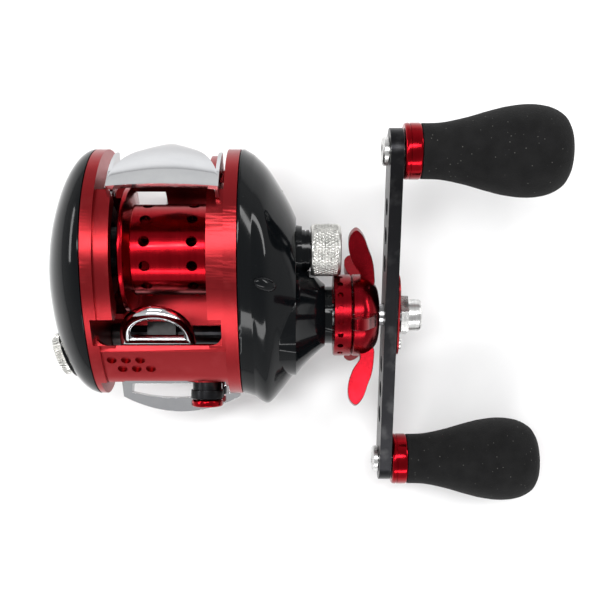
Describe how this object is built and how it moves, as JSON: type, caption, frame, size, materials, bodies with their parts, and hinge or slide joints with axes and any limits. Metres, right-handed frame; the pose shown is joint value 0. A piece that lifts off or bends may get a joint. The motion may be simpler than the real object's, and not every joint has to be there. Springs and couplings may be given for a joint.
{
  "type": "baitcasting reel",
  "caption": "Low-profile baitcasting fishing reel with twin-knob crank, star drag, thumb-bar clutch, level wind, brake dial and rod-seat foot.",
  "frame": {"origin": "middle of the reel foot's underside, where it rests in the rod's reel seat", "axes": "+X along the spool towards the crank, +Y to the angler, +Z away from the rod"},
  "size_m": [0.1391, 0.1098, 0.0579],
  "materials": {
    "red_satin": "satin red anodised",
    "red_bright": "bright red anodised",
    "black_gloss": "gloss",
    "black_metal": "black anodised",
    "black_plastic": "matt",
    "chrome": "polished",
    "silver": "satin",
    "steel": "ground",
    "brass": "cut",
    "foam": "matt closed-cell foam",
    "carbon": "woven carbon",
    "magnet": "plated"
  },
  "bodies": {
    "frame": {"frame": "red_satin", "reel_foot": "silver", "foot_screw_front": "steel", "foot_screw_rear": "steel", "palm_cover": "black_gloss", "palm_side_plate": "black_metal", "palm_spool_bearing": "steel", "handle_cover": "black_gloss", "cover_screw": "steel", "shaft_bearing": "steel", "one_way_bearing": "steel", "handle_spool_bearing": "steel", "worm_bush_palm": "black_plastic", "worm_bush_handle": "black_plastic", "worm_tube": "black_metal", "front_bar": "chrome", "yoke_spring_upper": "steel", "yoke_spring_lower": "steel", "button_spring": "steel"},
    "crank": {"drive_shaft": "steel", "idle_gear": "brass", "ratchet_wheel": "steel", "key_washer": "steel", "crank_arm": "black_metal", "nut_retainer": "red_satin", "retainer_screw": "silver", "handle_nut": "silver", "knob_spindle_front": "silver", "knob_spindle_rear": "silver"},
    "drive_gear": {"drive_gear": "brass", "drag_washer": "carbon"},
    "star_drag": {"star_wheel": "red_bright", "click_ring": "red_bright", "star_nut": "brass"},
    "knob_front": {"knob_ferrule_front": "red_bright", "knob_grip_front": "foam", "knob_cap_front": "red_bright"},
    "knob_rear": {"knob_ferrule_rear": "red_bright", "knob_grip_rear": "foam", "knob_cap_rear": "red_bright"},
    "spool": {"spool": "red_bright", "spool_shaft": "steel"},
    "yoke": {"yoke": "black_metal"},
    "pinion": {"pinion": "brass"},
    "thumb_bar": {"thumb_bar": "chrome", "clutch_cam": "steel"},
    "worm": {"worm_shaft": "steel", "worm_gear": "brass"},
    "carriage": {"line_carriage": "black_plastic", "line_guide": "chrome", "pawl": "brass"},
    "brake_dial": {"brake_dial": "silver"},
    "magnets": {"magnet_ring": "magnet"},
    "tension_knob": {"cast_control_knob": "silver"},
    "button": {"button_barrel": "black_metal", "button_cap": "red_bright"}
  },
  "joints": [
    {"name": "crank_turn", "type": "hinge", "parent": "frame", "child": "crank", "pos_m": [0, -0.0118, 0.021], "axis": [1, 0, 0], "continuous": true},
    {"name": "drive_gear_turn", "type": "hinge", "parent": "frame", "child": "drive_gear", "pos_m": [0, -0.0118, 0.021], "axis": [1, 0, 0], "continuous": true},
    {"name": "spool_spin", "type": "hinge", "parent": "frame", "child": "spool", "pos_m": [0, 0.006, 0.026], "axis": [1, 0, 0], "continuous": true},
    {"name": "worm_spin", "type": "hinge", "parent": "frame", "child": "worm", "pos_m": [0, -0.01761, 0.01286], "axis": [1, 0, 0], "continuous": true},
    {"name": "star_drag_turn", "type": "hinge", "parent": "crank", "child": "star_drag", "pos_m": [0, -0.0118, 0.021], "axis": [1, 0, 0], "range_deg": [-180, 180]},
    {"name": "knob_front_spin", "type": "hinge", "parent": "crank", "child": "knob_front", "pos_m": [0, -0.05465, 0.00455], "axis": [1, 0, 0], "continuous": true},
    {"name": "knob_rear_spin", "type": "hinge", "parent": "crank", "child": "knob_rear", "pos_m": [0, 0.03105, 0.03745], "axis": [1, 0, 0], "continuous": true},
    {"name": "thumb_press", "type": "hinge", "parent": "frame", "child": "thumb_bar", "pos_m": [0, 0.006, 0.026], "axis": [-1, 0, 0], "range_deg": [0, 15]},
    {"name": "yoke_slide", "type": "slide", "parent": "frame", "child": "yoke", "axis": [1, 0, 0], "range_m": [0, 0.0015], "deforming": ["yoke_spring_upper", "yoke_spring_lower"]},
    {"name": "pinion_spin", "type": "hinge", "parent": "yoke", "child": "pinion", "pos_m": [0, 0.006, 0.026], "axis": [1, 0, 0], "continuous": true},
    {"name": "level_wind_slide", "type": "slide", "parent": "frame", "child": "carriage", "axis": [1, 0, 0], "range_m": [-0.004, 0.008]},
    {"name": "brake_dial_turn", "type": "hinge", "parent": "frame", "child": "brake_dial", "pos_m": [-0.031, -0.0224, 0.02], "axis": [-0.9404, -0.3401, 0], "range_deg": [0, 270]},
    {"name": "magnet_slide", "type": "slide", "parent": "frame", "child": "magnets", "axis": [1, 0, 0], "range_m": [0, 0.0012]},
    {"name": "tension_turn", "type": "hinge", "parent": "frame", "child": "tension_knob", "pos_m": [0, 0.006, 0.026], "axis": [1, 0, 0], "range_deg": [-360, 360]},
    {"name": "button_push", "type": "slide", "parent": "frame", "child": "button", "axis": [0, 1, 0], "range_m": [0, 0.0015], "stiffness_N_per_m": 300, "springref_m": -0.001, "deforming": ["button_spring"]}
  ],
  "couplings": [
    {"joint": "drive_gear_turn", "follows": "crank_turn", "ratio": 1},
    {"joint": "spool_spin", "follows": "crank_turn", "ratio": -6.4},
    {"joint": "pinion_spin", "follows": "crank_turn", "ratio": -6.4},
    {"joint": "worm_spin", "follows": "crank_turn", "ratio": -1.3529},
    {"joint": "yoke_slide", "follows": "thumb_press", "m_per_rad": 0.0057},
    {"joint": "brake_dial_turn", "follows": "magnet_slide", "rad_per_m": 3927}
  ]
}
